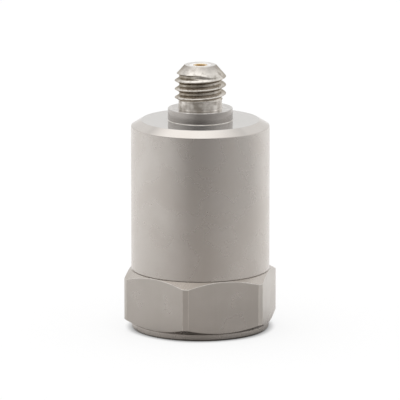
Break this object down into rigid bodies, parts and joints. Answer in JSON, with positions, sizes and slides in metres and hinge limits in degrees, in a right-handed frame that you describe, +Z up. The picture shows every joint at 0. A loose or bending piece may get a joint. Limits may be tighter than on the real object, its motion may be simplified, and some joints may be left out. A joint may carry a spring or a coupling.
{
  "type": "vibration sensor",
  "caption": "Screw-mounted accelerometer: hex base with a tapped hole, round welded steel housing and a threaded coaxial connector on top, with its shear element and amplifier inside.",
  "frame": {"origin": "centre of the mounting face, under the foot", "axes": "+Z up along the sensing axis, from the mounting face to the connector; two hex corners lie on the X axis"},
  "size_m": [0.0147, 0.013, 0.0247],
  "materials": {
    "base_steel": "satin",
    "housing_steel": "satin",
    "connector_steel": "satin",
    "insulator_plastic": "satin",
    "seal_glass": "gloss",
    "contact_gold": "gloss",
    "piezo_ceramic": "matte",
    "mass_tungsten": "satin",
    "ring_steel": "satin",
    "spacer_plastic": "matte",
    "board_laminate": "satin",
    "screw_steel": "gloss",
    "chip_moulding": "matte",
    "resistor_ceramic": "satin",
    "capacitor_ceramic": "satin",
    "signal_sleeve": "satin",
    "output_sleeve": "satin",
    "liner_film": "gloss"
  },
  "bodies": {
    "root": {"base": "base_steel", "housing": "housing_steel", "connector_shell": "connector_steel", "connector_insulator": "insulator_plastic", "glass_seal": "seal_glass", "centre_contact": "contact_gold", "piezo_plate_1": "piezo_ceramic", "piezo_plate_2": "piezo_ceramic", "piezo_plate_3": "piezo_ceramic", "seismic_mass_1": "mass_tungsten", "seismic_mass_2": "mass_tungsten", "seismic_mass_3": "mass_tungsten", "preload_ring": "ring_steel", "board_spacer": "spacer_plastic", "circuit_board": "board_laminate", "board_screw": "screw_steel", "input_transistor": "chip_moulding", "output_transistor": "chip_moulding", "chip_resistors": "resistor_ceramic", "chip_capacitors": "capacitor_ceramic", "signal_lead": "signal_sleeve", "output_lead": "output_sleeve", "insulating_liner": "liner_film"}
  },
  "joints": []
}
